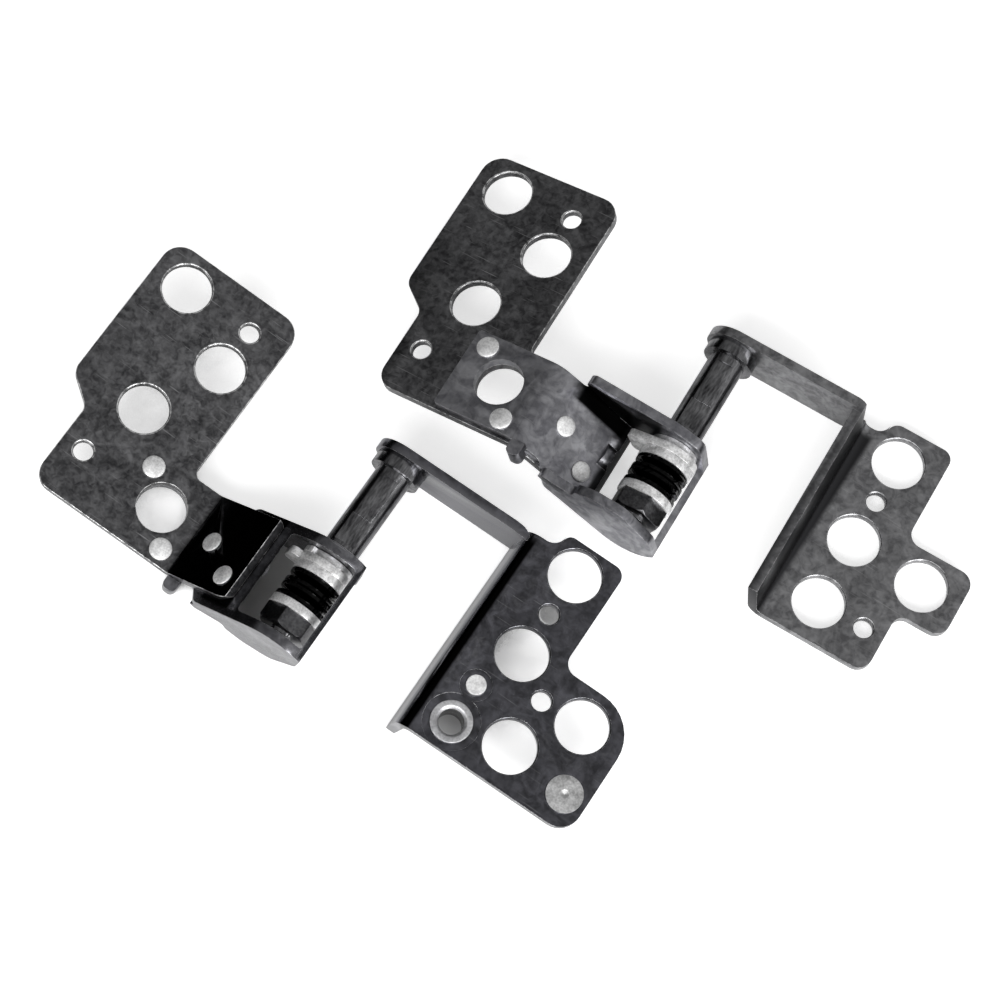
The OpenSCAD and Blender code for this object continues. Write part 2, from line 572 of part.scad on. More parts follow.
module left_clutch_plate() { color(dark) left_clutch() clutch_plate(); }
module left_clutch_bracket() { color(black) left_clutch() clutch_bracket(); }
module left_plate_rivets() { color(bright) left_clutch() plate_rivet_pair(); }
module left_tongue_rivets() { color(bright) left_clutch() tongue_rivet_pair(); }
module left_shaft() { color(dark) left_arm() shaft(); }
module left_stop_washer() { color(bright) left_arm() stop_washer(); }
module left_friction_plate() { color(bright) left_clutch() friction_plate(); }
module left_inner_washer() { color(steel) left_arm() inner_washer(); }
module left_spring_washer_1() { color(black) left_arm() spring_washer(0); }
module left_spring_washer_2() { color(black) left_arm() spring_washer(1); }
module left_spring_washer_3() { color(black) left_arm() spring_washer(2); }
module left_spring_washer_4() { color(black) left_arm() spring_washer(3); }
module left_outer_washer() { color(steel) left_arm() outer_washer(); }
module left_lock_nut() { color(dark) left_arm() lock_nut(); }
module left_arm_bracket() {
    color(dark) left_arm() arm_bracket(left_plate_corners, left_arm_holes, left_peg_holes) left_arm_recesses();
}
module left_threaded_insert() { color(steel) left_arm() threaded_insert(); }
module left_arm_rivet() { color(bright) left_arm() arm_rivet(); }
module left_arm_stud() { color(bright) left_arm() arm_stud(); }

module right_clutch_plate() { color(dark) right_clutch() clutch_plate(); }
module right_clutch_bracket() { color(black) right_clutch() clutch_bracket(); }
module right_plate_rivets() { color(bright) right_clutch() plate_rivet_pair(); }
module right_tongue_rivets() { color(bright) right_clutch() tongue_rivet_pair(); }
module right_shaft() { color(dark) right_arm() shaft(); }
module right_stop_washer() { color(bright) right_arm() stop_washer(); }
module right_friction_plate() { color(bright) right_clutch() friction_plate(); }
module right_inner_washer() { color(steel) right_arm() inner_washer(); }
module right_spring_washer_1() { color(black) right_arm() spring_washer(0); }
module right_spring_washer_2() { color(black) right_arm() spring_washer(1); }
module right_spring_washer_3() { color(black) right_arm() spring_washer(2); }
module right_spring_washer_4() { color(black) right_arm() spring_washer(3); }
module right_outer_washer() { color(steel) right_arm() outer_washer(); }
module right_lock_nut() { color(dark) right_arm() lock_nut(); }
module right_arm_bracket() { color(dark) right_arm() arm_bracket(right_plate_corners, right_arm_holes, right_peg_holes); }

left_clutch_plate();
left_clutch_bracket();
left_plate_rivets();
left_tongue_rivets();
left_shaft();
left_stop_washer();
left_friction_plate();
left_inner_washer();
left_spring_washer_1();
left_spring_washer_2();
left_spring_washer_3();
left_spring_washer_4();
left_outer_washer();
left_lock_nut();
left_arm_bracket();
left_threaded_insert();
left_arm_rivet();
left_arm_stud();
right_clutch_plate();
right_clutch_bracket();
right_plate_rivets();
right_tongue_rivets();
right_shaft();
right_stop_washer();
right_friction_plate();
right_inner_washer();
right_spring_washer_1();
right_spring_washer_2();
right_spring_washer_3();
right_spring_washer_4();
right_outer_washer();
right_lock_nut();
right_arm_bracket();
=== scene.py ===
"""Looks of a laptop hinge pair: plated sheet, ground washers, rivets and a soft white studio."""
import json
import math
from collections import namedtuple

import bpy
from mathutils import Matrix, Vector

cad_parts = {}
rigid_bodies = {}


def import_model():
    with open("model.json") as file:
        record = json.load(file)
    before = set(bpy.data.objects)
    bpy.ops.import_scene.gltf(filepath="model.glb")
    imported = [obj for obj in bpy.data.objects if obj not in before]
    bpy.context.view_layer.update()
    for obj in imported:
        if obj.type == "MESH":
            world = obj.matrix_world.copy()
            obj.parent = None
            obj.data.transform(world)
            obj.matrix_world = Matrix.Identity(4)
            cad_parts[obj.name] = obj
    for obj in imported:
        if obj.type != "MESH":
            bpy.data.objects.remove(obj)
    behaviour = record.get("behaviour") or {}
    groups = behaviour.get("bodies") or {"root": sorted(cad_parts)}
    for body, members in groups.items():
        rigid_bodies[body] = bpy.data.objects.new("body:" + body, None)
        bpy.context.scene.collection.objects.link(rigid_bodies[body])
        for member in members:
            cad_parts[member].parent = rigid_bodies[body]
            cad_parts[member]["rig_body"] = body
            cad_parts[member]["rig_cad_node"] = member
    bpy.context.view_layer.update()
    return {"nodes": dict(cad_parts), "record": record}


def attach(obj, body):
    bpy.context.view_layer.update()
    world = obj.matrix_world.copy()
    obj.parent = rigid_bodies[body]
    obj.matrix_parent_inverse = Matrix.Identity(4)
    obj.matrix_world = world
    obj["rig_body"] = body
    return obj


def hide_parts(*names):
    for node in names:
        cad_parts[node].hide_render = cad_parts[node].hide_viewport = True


bl_info = {
    "name": "Laptop hinge pair",
    "version": (1, 0, 0),
    "blender": (4, 5, 0),
    "location": "3D View > Sidebar > Hinges",
    "description": "Dresses a packed pair of laptop friction hinges and lights them",
    "category": "Object",
}

MM = 0.001

WHITE = "#FFFFFF"
BLACK = "#000000"

# Patterns of two tones: cell in millimetres, and the noise levels where the first ends and the second starts
Pattern = namedtuple("Pattern", "cell detail swirl low high")
CLOUDS = Pattern(5.5, 4.0, 0.6, 0.36, 0.64)
SMEARS = Pattern(1.9, 8.0, 1.4, 0.4, 0.66)
PITS = Pattern(0.6, 6.0, 0.8, 0.38, 0.64)
DUST_PATCHES = Pattern(7.0, 3.0, 0.0, 0.52, 0.66)
DUST_WISPS = Pattern(1.1, 9.0, 2.0, 0.5, 0.72)
STAINS = Pattern(1.6, 5.0, 0.0, 0.38, 0.6)
GRAIN = Pattern(0.25, 2.0, 0.0, 0.34, 0.66)
SMEAR_SHARE = 0.6
GRAIN_SHARE = 0.5
DUST_TONE = "#A8A8AA"

# Unevenness of gloss and of the surface itself, in millimetres
GLOSS_MM = 2.1
WAVE_MM = 1.1
CHATTER_MM = 0.45
BUMP_MM = 0.03
CHATTER_BUMP = 0.3

# Handling scratches: turn in degrees, length and width in millimetres, and the noise level that they start at
SCRATCHES = ((28, 7.0, 0.2, 0.73), (-47, 5.0, 0.18, 0.74), (83, 6.0, 0.19, 0.74), (-12, 4.0, 0.17, 0.75))
SCRATCH_TILT = (0.2, 0.15)
SCRATCH_FADE = 0.06
SCRATCH_GAIN = 1.3
SCRATCH_TONE = "#C0C0C2"

# Places of another tone, mostly painted shade, one painted reflection and one plain darker place: each bound
# is an axis, where the tone starts and where it is full, in millimetres
SLOPE_END_SHADE = (("X", -19.6, -19.2), ("X", -15.9, -16.2), ("Y", -28.6, -28.3))
# Painted shade: black on the sheet in the corner by the shaft ear, where a gap lies in shade
EAR_CORNER_SHADE = (("X", -0.4, 0.8), ("X", 9.6, 8.8), ("Y", 8.3, 8.7), ("Z", 8.4, 8.2))
# A darker grey on the side beside the window
WINDOW_SIDE_DARKER = (("X", 5.7, 6.2), ("X", 9.6, 8.8), ("Y", 0.7, 0.9), ("Z", 8.4, 8.2))
# Painted reflection: the left arm's wall made lighter for the white floor it mirrors
LEFT_WALL_SHEEN = (("X", 4.25, 4.05), ("Y", -5.5, -6.5))
# Painted shade: black in the left arm's long bend
LEFT_BEND_SHADE = (("X", 4.15, 4.35), ("X", 5.3, 5.0), ("Y", -5.5, -6.5))
# Painted shade: darker in the right arm's long bend
RIGHT_BEND_SHADE = (("X", 24.4, 24.8), ("X", 27.3, 26.6), ("Y", 24.0, 23.0), ("Z", 7.1, 6.8))

# Mesh work: welding distance in millimetres, angles in degrees, and how far a face's normal points up
WELD_MM = 0.0005
FLAT_ANGLE = 0.6
SMOOTH_ANGLE = 28
SHEET_CORNER = 35
SPRING_CORNER = 50
TONGUE_SLOPE = 62
FACES_UP = 0.1
UPRIGHT = 0.4

# Paper floor, its width in metres; the wells are places that no light reaches, as x, y, radius and shade
FLOOR_SIZE = 6.0
FLOOR_DROP_MM = 0.02
SHELTER_MM = 12
FLOOR_WELLS = ((-15.8, -23.5, 6.0, 0.16), (7.2, -24.4, 2.3, 0.6), (9.7, -9.6, 1.6, 0.3))
WELL_CORE = 0.7
BEHIND_MM = (-3, 1)
BEHIND_LIFT = 0.14
OPEN_LEVELS = (0.2, 0.3)
CAMERA_GLOW = 0.58
MIRROR_GLOW = 0.1
PAPER_TONE = "#F6F6F6"
SHADED_TONE = "#A0A0A0"

# Room: the ceiling's strength on its left and right as shares of the sky's
CEILING_SHARES = (0.37, 1.63)
# Name, place and size in metres, and power as a share of the key light's
SOFTBOXES = (
    ("right softbox", (0.46, -0.26, 0.23), (0.34, 0.3), 2.7),
    ("front softbox", (0.05, -0.5, 0.46), (0.5, 0.3), 2.8),
)
CARD_PLACE = (-0.34, 0.1, 0.1)
CARD_SCALE = (0.2, 0.6, 1)
CARD_TONE = "#040404"
SENSOR_MM = 36
CLIP = (0.005, 20)

# Sockets of a Mix node that mixes colours
FACTOR, UNDER, OVER, MIXED = 0, 6, 7, 2

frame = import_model()

BODY_OF = {node: body for body, nodes in frame["record"]["behaviour"]["bodies"].items() for node in nodes}
SLOT_OF = {part["node"]: part["material_slot"] for part in frame["record"]["subparts"]}
SIDES = ("left", "right")


def colour(text):
    """Linear colour from an sRGB hex value such as #8A8A8C."""
    parts = [int(text[i:i + 2], 16) / 255 for i in (1, 3, 5)]
    return tuple(c / 12.92 if c <= 0.04045 else ((c + 0.055) / 1.055) ** 2.4 for c in parts) + (1.0,)


def add(tree, kind, inputs=None, **settings):
    """One shader node: settings are its own properties, inputs are sockets to link or values to set."""
    node = tree.nodes.new(kind)
    for name, value in settings.items():
        setattr(node, name, value)
    for key, value in (inputs or {}).items():
        if hasattr(value, "is_output"):
            tree.links.new(value, node.inputs[key])
        else:
            node.inputs[key].default_value = value
    return node


def per_mm(size):
    """Texture scale that gives one pattern cell the size, in millimetres."""
    return 1 / (size * MM)


def new_material(name):
    """A material with its output, its shader and Object coordinates."""
    mat = bpy.data.materials.new(name)
    mat.use_nodes = True
    tree = mat.node_tree
    tree.nodes.clear()
    shader = add(tree, "ShaderNodeBsdfPrincipled")
    add(tree, "ShaderNodeOutputMaterial", {"Surface": shader.outputs["BSDF"]})
    coords = add(tree, "ShaderNodeTexCoord").outputs["Object"]
    return mat, tree, shader, coords


def mottling(tree, coords, pattern, tones=(BLACK, WHITE)):
    """Cloudy noise that turns from one tone to another between the pattern's two levels."""
    cloud = add(tree, "ShaderNodeTexNoise", {"Vector": coords, "Scale": per_mm(pattern.cell),
                                             "Detail": pattern.detail, "Distortion": pattern.swirl})
    ramp = add(tree, "ShaderNodeValToRGB", {"Fac": cloud.outputs["Fac"]})
    for stop, level, tone in zip(ramp.color_ramp.elements, (pattern.low, pattern.high), tones):
        stop.position = level
        stop.color = colour(tone)
    return ramp.outputs["Color"]


def scratch_lines(tree, coords, turn, length, width, level):
    """Thin straight scratches: noise stretched along one direction and cut off high."""
    stretch = {"Vector": coords, "Rotation": (*SCRATCH_TILT, math.radians(turn)),
               "Scale": (1 / length, 1 / width, 1 / length)}
    place = add(tree, "ShaderNodeMapping", stretch).outputs["Vector"]
    return mottling(tree, place, Pattern(1.0, 1.0, 0.0, level, level + SCRATCH_FADE))


def lay_over(tree, base, layers):
    """Lays tones over a base one after another, each by its own mask."""
    for mask, tone in layers:
        mixed = add(tree, "ShaderNodeMix", {FACTOR: mask, UNDER: base, OVER: tone}, data_type="RGBA")
        base = mixed.outputs[MIXED]
    return base


def uneven_gloss(tree, shader, coords, rough, spread):
    """Roughness that wanders about its mean from patch to patch."""
    patch = add(tree, "ShaderNodeTexNoise", {"Vector": coords, "Scale": per_mm(GLOSS_MM), "Detail": 5.0})
    wander = add(tree, "ShaderNodeMapRange", {"Value": patch.outputs["Fac"], "To Min": rough - spread,
                                              "To Max": rough + spread})
    tree.links.new(wander.outputs["Result"], shader.inputs["Roughness"])


def ripple(tree, shader, coords, cell, strength):
    """A slight unevenness of the surface that bends its reflections."""
    wave = add(tree, "ShaderNodeTexNoise", {"Vector": coords, "Scale": per_mm(cell), "Detail": 3.0})
    bump = add(tree, "ShaderNodeBump", {"Height": wave.outputs["Fac"], "Strength": strength,
                                        "Distance": BUMP_MM * MM})
    tree.links.new(bump.outputs["Normal"], shader.inputs["Normal"])


def scaled(tone, factor):
    """A hex tone made darker or lighter by a factor on its sRGB values."""
    return "#" + "".join("%02X" % min(255, int(int(tone[i:i + 2], 16) * factor)) for i in (1, 3, 5))


def plated_sheet(name, dark, light, rough, gloss_spread, scratched=0.5, wavy=0.22, mottled=0.5, metal=1.0):
    """Black-nickel plate on stamped steel: smeared cloudy grey, with scratches that catch the light."""
    mat, tree, shader, coords = new_material(name)
    clouds = mottling(tree, coords, CLOUDS, (dark, light))
    smears = mottling(tree, coords, SMEARS, (scaled(dark, 0.8), scaled(light, 1.15)))
    pits = mottling(tree, coords, PITS, (scaled(dark, 0.6), scaled(light, 1.25)))
    # Dusty finger marks lie in a few patches only
    marks = add(tree, "ShaderNodeMath", {0: mottling(tree, coords, DUST_PATCHES),
                                         1: mottling(tree, coords, DUST_WISPS)}, operation="MULTIPLY")
    dust = add(tree, "ShaderNodeMath", {0: marks.outputs[0], 1: scratched}, operation="MULTIPLY")
    layers = [(SMEAR_SHARE, smears), (mottled, pits), (dust.outputs[0], colour(DUST_TONE))]
    for scratch in SCRATCHES:
        lines = scratch_lines(tree, coords, *scratch)
        faint = add(tree, "ShaderNodeMath", {0: lines, 1: SCRATCH_GAIN * scratched}, operation="MULTIPLY")
        layers.append((faint.outputs[0], colour(SCRATCH_TONE)))
    tree.links.new(lay_over(tree, clouds, layers), shader.inputs["Base Color"])
    shader.inputs["Metallic"].default_value = metal
    uneven_gloss(tree, shader, coords, rough, gloss_spread)
    # Rolled sheet is never flat as glass
    ripple(tree, shader, coords, WAVE_MM, wavy)
    return mat


def turned_steel(name, dark, light, rough, grain=GRAIN.cell, stain=STAINS.cell, along=1.0, metal=1.0):
    """Bare machined steel: bright metal with fine grain and light staining, drawn out along Y for a shaft."""
    mat, tree, shader, coords = new_material(name)
    stretch = {"Vector": coords, "Scale": (1.0, 1.0 / along, 1.0)}
    place = add(tree, "ShaderNodeMapping", stretch).outputs["Vector"]
    stains = mottling(tree, place, STAINS._replace(cell=stain), (dark, light))
    grains = mottling(tree, place, GRAIN._replace(cell=grain), (dark, light))
    tree.links.new(lay_over(tree, stains, [(GRAIN_SHARE, grains)]), shader.inputs["Base Color"])
    shader.inputs["Metallic"].default_value = metal
    shader.inputs["Roughness"].default_value = rough
    ripple(tree, shader, place, CHATTER_MM, CHATTER_BUMP)
    return mat


def tint_region(mat, bounds, tone):
    """Gives a finish another tone inside soft bounds."""
    tree = mat.node_tree
    coords = add(tree, "ShaderNodeTexCoord").outputs["Object"]
    place = add(tree, "ShaderNodeSeparateXYZ", {"Vector": coords})
    mask = 1.0
    for axis, start, full in bounds:
        low, high = (0.0, 1.0) if start < full else (1.0, 0.0)
        near, far = sorted((start * MM, full * MM))
        ends = {"From Min": near, "From Max": far, "To Min": low, "To Max": high}
        side = add(tree, "ShaderNodeMapRange", {"Value": place.outputs[axis], **ends},
                   interpolation_type="SMOOTHSTEP")
        inside = add(tree, "ShaderNodeMath", {0: mask, 1: side.outputs["Result"]}, operation="MULTIPLY")
        mask = inside.outputs[0]
    base = tree.nodes["Principled BSDF"].inputs["Base Color"]
    tinted = lay_over(tree, base.links[0].from_socket, [(mask, colour(tone))])
    tree.links.new(tinted, base)


FINISHES = {}


def make_finishes(props):
    """Builds every finish once, keyed by the record's material slot or by a name of its own."""
    # Handling has dulled the plating: a soft dark grey in which the room is only a blur
    FINISHES["clutch_plate_steel"] = plated_sheet(
        "matt black-nickel sheet", props.plate_dark, props.plate_light, 0.34, 0.07, mottled=0.3)
    # The same plating as it left the bath, with a clear image of the room; its nearly black tone is painted
    # shade
    FINISHES["tongue_gloss"] = plated_sheet(
        "polished black-nickel tongue with painted shade", "#343436", "#48484A", 0.12, 0.03,
        scratched=0.03, wavy=0.08, mottled=0.2)
    FINISHES["bracket_steel"] = left_bracket_finish()
    FINISHES["right_bracket"] = right_bracket_finish()
    FINISHES["left_arm_steel"] = left_arm_finish()
    FINISHES["right_arm_steel"] = right_arm_finish()
    # Painted highlight on the rounded rims: broken bright lines round every sheet and hole
    FINISHES["edge_highlight"] = plated_sheet(
        "sheet edge with painted highlight", "#5A5A5C", "#F0F0F2", 0.34, 0.06,
        scratched=0.3, wavy=0.2, mottled=0.7, metal=0.75)
    # Hardened, turned and polished: dark, with bright streaks along its length
    FINISHES["shaft_steel"] = turned_steel(
        "polished hardened shaft", "#3C3C3E", "#929294", 0.2, 0.2, 1.0, along=4.0)
    # Ground flat, half mirror and half matt: bright from every side
    FINISHES["washer_steel"] = turned_steel(
        "ground washer steel", "#B4B4B4", WHITE, 0.28, 0.22, 0.9, metal=0.5)
    # Oil on black spring steel: black with thin gleams on the rims
    FINISHES["spring_steel"] = turned_steel("oiled black spring steel", "#0A0A0A", "#1E1E1E", 0.18)
    # Black oxide: dark grey facets that still shine
    FINISHES["nut_steel"] = turned_steel("black-oxide nut steel", "#3C3C3E", "#6E6E70", 0.28)
    # Cold-headed and left bare: pale grey without a clear highlight
    FINISHES["rivet_steel"] = turned_steel("bare rivet steel", "#D0D0D0", WHITE, 0.68, 0.2, 0.9)
    # Pressed and left bare, a little darker than the rivets
    FINISHES["stud_steel"] = turned_steel("pressed stud steel", "#9C9C9C", "#DADADA", 0.6, 0.2, 0.9)
    # Turned and plated: light grey with a soft ring of light
    FINISHES["insert_steel"] = turned_steel("plated insert steel", "#AAAAAC", "#E6E6E8", 0.5)


def left_bracket_finish():
    """Glossy plating, with painted shade in black between the tongue's end and the window."""
    mat = plated_sheet("glossy black-nickel bracket", "#6A6A6E", "#86868A",
                       0.25, 0.04, scratched=0.2, wavy=0.1, mottled=0.15)
    # Painted shade: black on the strip between the tongue's end and the window
    tint_region(mat, SLOPE_END_SHADE, "#0C0C0E")
    return mat


def right_bracket_finish():
    """Satin plating, with painted shade in black in the corner by the shaft ear and a darker grey beside the
    window.
    """
    mat = plated_sheet("satin black-nickel bracket", "#84848A", "#A2A2A6",
                       0.32, 0.03, scratched=0.25, wavy=0.08, mottled=0.12)
    # Painted shade: black in the corner by the shaft ear
    tint_region(mat, EAR_CORNER_SHADE, "#0A0A0A")
    # A darker grey beside the window
    tint_region(mat, WINDOW_SIDE_DARKER, "#3A3A3C")
    return mat


def left_arm_finish():
    """Glossy plating, with painted shade in black in the long bend and a painted reflection, lighter, on the
    wall beside it.
    """
    mat = plated_sheet("glossy black-nickel arm", "#505054", "#6E6E74",
                       0.2, 0.05, scratched=0.25, wavy=0.2, mottled=0.15)
    # Painted reflection: a lighter tone on the wall
    tint_region(mat, LEFT_WALL_SHEEN, "#7E7E82")
    # Painted shade: black in the long bend
    tint_region(mat, LEFT_BEND_SHADE, "#0A0A0A")
    return mat


def right_arm_finish():
    """Satin plating, with painted shade, darker, in the long bend."""
    mat = plated_sheet("satin black-nickel arm", "#808082", "#9C9C9E",
                       0.32, 0.06, scratched=0.4, mottled=0.2)
    # Painted shade: a darker grey in the long bend
    tint_region(mat, RIGHT_BEND_SHADE, "#38383A")
    return mat


def only(obj):
    """Deselects everything else and makes the object active."""
    if bpy.context.mode != "OBJECT":
        bpy.ops.object.mode_set(mode="OBJECT")
    bpy.ops.object.select_all(action="DESELECT")
    obj.select_set(True)
    bpy.context.view_layer.objects.active = obj


def dress(node, edge, finish=None, sharp=SHEET_CORNER, worn=None):
    """A merged copy of a CAD node with rounded edges; it rides on the node's body and stands for it."""
    source = frame["nodes"][node]
    piece = source.copy()
    piece.data = source.data.copy()
    piece.name = node + "_dressed"
    piece.parent = None
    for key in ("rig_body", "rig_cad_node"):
        if key in piece:
            del piece[key]
    bpy.context.scene.collection.objects.link(piece)
    piece.data.materials.clear()
    piece.data.materials.append(FINISHES[finish or SLOT_OF[node]])
    if worn:
        piece.data.materials.append(FINISHES[worn])
    only(piece)
    bpy.ops.object.mode_set(mode="EDIT")
    bpy.ops.mesh.select_all(action="SELECT")
    bpy.ops.mesh.remove_doubles(threshold=WELD_MM * MM)
    bpy.ops.mesh.dissolve_limited(angle_limit=math.radians(FLAT_ANGLE))
    bpy.ops.object.mode_set(mode="OBJECT")
    bevel = piece.modifiers.new("rounded edges", "BEVEL")
    bevel.width = edge * MM
    bevel.segments = 2
    bevel.limit_method = "ANGLE"
    bevel.angle_limit = math.radians(sharp)
    bevel.use_clamp_overlap = True
    # The bevel faces take the painted highlight finish, when one is given
    bevel.material = 1 if worn else -1
    bpy.ops.object.modifier_apply(modifier=bevel.name)
    bpy.ops.object.shade_smooth_by_angle(angle=math.radians(SMOOTH_ANGLE))
    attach(piece, BODY_OF[node])
    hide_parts(node)
    return piece


class HingeFinishes(bpy.types.PropertyGroup):
    """Colours and edges of the plated parts."""

    plate_dark: bpy.props.StringProperty(
        name="Plate, dark", description="Darkest tone of the plating", default="#4C4C4E")
    plate_light: bpy.props.StringProperty(
        name="Plate, light", description="Lightest tone of the plating", default="#7C7C7E")
    sheet_edge: bpy.props.FloatProperty(
        name="Sheet edge", description="Rounding of a sheet's edges, in millimetres",
        default=0.1, min=0.02, max=0.2)
    small_edge: bpy.props.FloatProperty(
        name="Small edge", description="Rounding of washers and rivets, in millimetres",
        default=0.06, min=0.01, max=0.1)


class HingeStudio(bpy.types.PropertyGroup):
    """Camera and light of the studio."""

    azimuth: bpy.props.FloatProperty(
        name="Azimuth", description="Turn of the camera round the pair, in degrees", default=30.62)
    elevation: bpy.props.FloatProperty(
        name="Elevation", description="Height of the camera, in degrees", default=70.1)
    roll: bpy.props.FloatProperty(
        name="Roll", description="Turn of the picture, in degrees", default=2.74)
    distance: bpy.props.FloatProperty(
        name="Distance", description="Camera to the aimed point", subtype="DISTANCE", default=0.24765)
    aim_x: bpy.props.FloatProperty(
        name="Aim X", description="Aimed point on the floor", subtype="DISTANCE", default=-0.0013)
    aim_y: bpy.props.FloatProperty(
        name="Aim Y", description="Aimed point on the floor", subtype="DISTANCE", default=-0.00248)
    lens: bpy.props.FloatProperty(
        name="Lens", description="Focal length, in millimetres", default=88.09)
    key_power: bpy.props.FloatProperty(
        name="Key light", description="Power that the softboxes share", subtype="POWER", default=0.9)
    sky: bpy.props.FloatProperty(
        name="Sky", description="Strength of the light from all round", default=0.38)


class HINGE_OT_sheet_parts(bpy.types.Operator):
    """Dress the clutch plates, clutch brackets and arm brackets."""

    bl_idname = "hinge.sheet_parts"
    bl_label = "Sheet parts"

    def execute(self, context):
        edge = context.scene.hinge_finishes.sheet_edge
        for side in SIDES:
            for part in ("_clutch_plate", "_clutch_bracket", "_arm_bracket"):
                finish = "right_bracket" if side + part == "right_clutch_bracket" else None
                piece = dress(side + part, edge, finish, worn="edge_highlight")
                if part == "_clutch_plate":
                    paint_tongue(piece)
        return {"FINISHED"}


def paint_tongue(plate):
    """The fold and the tongue keep the mirror polish that the flat plate has lost to handling; their darker
    tone is painted shade.
    """
    plate.data.materials.append(FINISHES["tongue_gloss"])
    gloss = len(plate.data.materials) - 1
    side = plate.name.split("_")[0]
    up = 1 if side == "left" else -1
    steep = math.cos(math.radians(TONGUE_SLOPE))
    for face in plate.data.polygons:
        if face.normal.z * up > FACES_UP and face.normal.x < -steep:
            face.material_index = gloss


def paint_thread_shade(insert):
    """Painted shade in the tapped hole: its wall faces, which look at the hole's own axis, take the black
    spring finish.
    """
    insert.data.materials.append(FINISHES["spring_steel"])
    mesh = insert.data
    centre = sum((v.co for v in mesh.vertices), Vector()) / len(mesh.vertices)
    for face in mesh.polygons:
        away = face.center - centre
        away.z = 0
        if abs(face.normal.z) < UPRIGHT and face.normal.dot(away) < 0:
            face.material_index = 1


class HINGE_OT_rivets(bpy.types.Operator):
    """Dress the rivets, the stud and the threaded insert."""

    bl_idname = "hinge.rivets"
    bl_label = "Rivets and insert"

    def execute(self, context):
        edge = context.scene.hinge_finishes.small_edge
        for side in SIDES:
            for part in ("_plate_rivets", "_tongue_rivets"):
                dress(side + part, edge)
        dress("left_arm_rivet", edge)
        dress("left_arm_stud", edge, "stud_steel")
        paint_thread_shade(dress("left_threaded_insert", edge))
        return {"FINISHED"}


class HINGE_OT_shafts(bpy.types.Operator):
    """Dress the two shafts."""

    bl_idname = "hinge.shafts"
    bl_label = "Shafts"

    def execute(self, context):
        for side in SIDES:
            dress(side + "_shaft", context.scene.hinge_finishes.sheet_edge)
        return {"FINISHED"}


class HINGE_OT_stack(bpy.types.Operator):
    """Dress the washers, the friction plates, the springs and the lock nuts."""

    bl_idname = "hinge.stack"
    bl_label = "Washer stacks"

    def execute(self, context):
        edge = context.scene.hinge_finishes.small_edge
        for side in SIDES:
            for part in ("_stop_washer", "_friction_plate", "_inner_washer", "_outer_washer", "_lock_nut"):
                dress(side + part, edge)
            for number in range(1, 5):
                dress(side + "_spring_washer_%d" % number, edge / 2, sharp=SPRING_CORNER)
        return {"FINISHED"}


def paper_floor():
    """White paper that glows for the camera, save where the parts close it in."""
    bpy.ops.mesh.primitive_plane_add(size=FLOOR_SIZE, location=(0, 0, -FLOOR_DROP_MM * MM))
    floor = bpy.context.object
    floor.name = "white_floor"
    mat = bpy.data.materials.new("white paper floor")
    mat.use_nodes = True
    tree = mat.node_tree
    tree.nodes.clear()
    open_sky = floor_openness(tree)
    path = add(tree, "ShaderNodeLightPath")
    camera_part = add(tree, "ShaderNodeMath", {0: path.outputs["Is Camera Ray"], 1: CAMERA_GLOW},
                      operation="MULTIPLY")
    seen = add(tree, "ShaderNodeMath", {0: path.outputs["Is Glossy Ray"], 1: MIRROR_GLOW,
                                        2: camera_part.outputs[0]}, operation="MULTIPLY_ADD")
    lift = add(tree, "ShaderNodeMath", {0: seen.outputs[0], 1: open_sky}, operation="MULTIPLY")
    shaded = lay_over(tree, colour(SHADED_TONE), [(open_sky, colour(PAPER_TONE))])
    paper = add(tree, "ShaderNodeBsdfDiffuse", {"Color": shaded})
    glow = add(tree, "ShaderNodeEmission", {"Color": colour(WHITE), "Strength": lift.outputs[0]})
    both = add(tree, "ShaderNodeAddShader", {0: paper.outputs[0], 1: glow.outputs[0]})
    add(tree, "ShaderNodeOutputMaterial", {"Surface": both.outputs[0]})
    floor.data.materials.append(mat)


def floor_openness(tree):
    """How open the paper lies, from 0 under the window and the holes that stay dark to 1 in the open."""
    shelter = add(tree, "ShaderNodeAmbientOcclusion", {"Distance": SHELTER_MM * MM}, samples=16)
    spot = add(tree, "ShaderNodeNewGeometry").outputs["Position"]
    across = add(tree, "ShaderNodeSeparateXYZ", {"Vector": spot})
    # Farther back, under the right hinge, the paper is brighter than its shelter alone would leave it
    near, far = BEHIND_MM
    behind = add(tree, "ShaderNodeMapRange", {"Value": across.outputs["Y"], "From Min": near * MM,
                                              "From Max": far * MM, "To Max": BEHIND_LIFT})
    openness = add(tree, "ShaderNodeMath", {0: shelter.outputs["AO"], 1: behind.outputs["Result"]},
                   operation="ADD").outputs[0]
    for x, y, radius, shade in FLOOR_WELLS:
        away = add(tree, "ShaderNodeVectorMath", {0: spot, 1: (x * MM, y * MM, 0)}, operation="DISTANCE")
        well = add(tree, "ShaderNodeMapRange", {"Value": away.outputs["Value"], "From Min": radius * MM,
                                                "From Max": WELL_CORE * radius * MM, "To Max": -shade})
        openness = add(tree, "ShaderNodeMath", {0: openness, 1: well.outputs["Result"]},
                       operation="ADD").outputs[0]
    shut, clear = OPEN_LEVELS
    sharper = add(tree, "ShaderNodeMapRange", {"Value": openness, "From Min": shut, "From Max": clear},
                  interpolation_type="SMOOTHSTEP")
    return sharper.outputs["Result"]


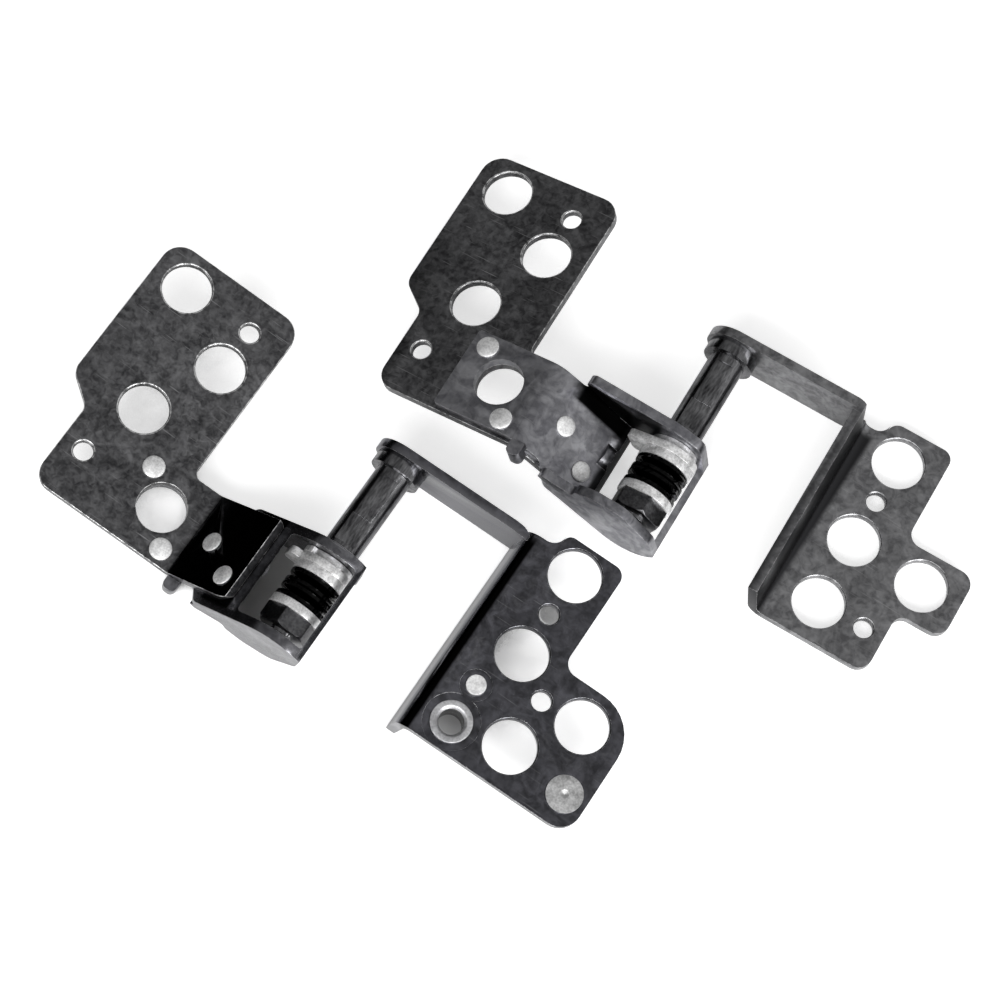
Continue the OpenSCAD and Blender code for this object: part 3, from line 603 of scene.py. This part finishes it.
def soft_room(sky):
    """A dim ceiling that grows lighter to the right."""
    world = bpy.data.worlds.new("soft room")
    world.use_nodes = True
    tree = world.node_tree
    back = tree.nodes["Background"]
    back.inputs["Color"].default_value = colour(WHITE)
    around = add(tree, "ShaderNodeTexCoord").outputs["Generated"]
    side = add(tree, "ShaderNodeSeparateXYZ", {"Vector": around}).outputs["X"]
    left, right = (sky * share for share in CEILING_SHARES)
    level = add(tree, "ShaderNodeMapRange", {"Value": side, "From Min": -1.0, "From Max": 1.0,
                                             "To Min": left, "To Max": right})
    tree.links.new(level.outputs["Result"], back.inputs["Strength"])
    bpy.context.scene.world = world


def softbox(name, place, size, power):
    """A rectangular soft light at a place in metres, turned to the origin."""
    bpy.ops.object.light_add(type="AREA", location=place)
    lamp = bpy.context.object
    lamp.name = name
    lamp.rotation_euler = (-Vector(place)).to_track_quat("-Z", "Y").to_euler()
    lamp.data.shape = "RECTANGLE"
    lamp.data.size, lamp.data.size_y = size
    lamp.data.energy = power


def black_card():
    """A card on the left that the metal mirrors and the camera doesn't see."""
    bpy.ops.mesh.primitive_plane_add(size=1.0, location=CARD_PLACE, rotation=(0, math.radians(90), 0))
    card = bpy.context.object
    card.name = "black_card"
    card.scale = CARD_SCALE
    card.visible_camera = False
    black = bpy.data.materials.new("black flock card")
    black.use_nodes = True
    shader = black.node_tree.nodes["Principled BSDF"]
    shader.inputs["Base Color"].default_value = colour(CARD_TONE)
    shader.inputs["Roughness"].default_value = 1.0
    shader.inputs["Specular IOR Level"].default_value = 0.0
    card.data.materials.append(black)


def photo_camera(studio):
    """The camera on its line of sight, turned about it by the roll."""
    az, el, roll = (math.radians(angle) for angle in (studio.azimuth, studio.elevation, studio.roll))
    forward = Vector((-math.sin(az) * math.cos(el), math.cos(az) * math.cos(el), -math.sin(el)))
    level = forward.cross(Vector((0, 0, 1))).normalized()
    upright = level.cross(forward)
    right = level * math.cos(roll) + upright * math.sin(roll)
    up = upright * math.cos(roll) - level * math.sin(roll)
    place = Vector((studio.aim_x, studio.aim_y, 0)) - forward * studio.distance
    bpy.ops.object.camera_add(location=place)
    camera = bpy.context.object
    camera.name = "photo_camera"
    turn = camera.rotation_euler.to_matrix()
    turn.col[0], turn.col[1], turn.col[2] = right, up, -forward
    camera.rotation_euler = turn.to_euler()
    camera.data.sensor_width = SENSOR_MM
    camera.data.lens = studio.lens
    camera.data.clip_start, camera.data.clip_end = CLIP
    bpy.context.scene.camera = camera


class HINGE_OT_studio(bpy.types.Operator):
    """Set up the white floor, the soft light and the camera."""

    bl_idname = "hinge.studio"
    bl_label = "Studio"

    def execute(self, context):
        studio = context.scene.hinge_studio
        context.scene.view_settings.view_transform = "Standard"
        bpy.ops.object.select_all(action="DESELECT")
        paper_floor()
        soft_room(studio.sky)
        for name, place, size, share in SOFTBOXES:
            softbox(name, place, size, studio.key_power * share)
        black_card()
        photo_camera(studio)
        return {"FINISHED"}


class HINGE_PT_panel(bpy.types.Panel):
    """Lists the steps that dress the hinge pair."""

    bl_idname = "HINGE_PT_panel"
    bl_label = "Laptop hinge pair"
    bl_space_type = "VIEW_3D"
    bl_region_type = "UI"
    bl_category = "Hinges"

    def draw(self, context):
        for step in STEPS:
            self.layout.operator(step.bl_idname)
        for group in (context.scene.hinge_finishes, context.scene.hinge_studio):
            for name in group.__annotations__:
                self.layout.prop(group, name)


STEPS = (HINGE_OT_sheet_parts, HINGE_OT_rivets, HINGE_OT_shafts, HINGE_OT_stack, HINGE_OT_studio)
CLASSES = (HingeFinishes, HingeStudio) + STEPS + (HINGE_PT_panel,)


def register():
    """Registers the classes and their settings on the scene."""
    for item in CLASSES:
        bpy.utils.register_class(item)
    bpy.types.Scene.hinge_finishes = bpy.props.PointerProperty(type=HingeFinishes)
    bpy.types.Scene.hinge_studio = bpy.props.PointerProperty(type=HingeStudio)


def unregister():
    """Removes the settings and the classes."""
    del bpy.types.Scene.hinge_studio
    del bpy.types.Scene.hinge_finishes
    for item in reversed(CLASSES):
        bpy.utils.unregister_class(item)


def main():
    """Runs every step in order."""
    register()
    make_finishes(bpy.context.scene.hinge_finishes)
    bpy.ops.hinge.sheet_parts()
    bpy.ops.hinge.rivets()
    bpy.ops.hinge.shafts()
    bpy.ops.hinge.stack()
    bpy.ops.hinge.studio()


if __name__ == "__main__":
    main()
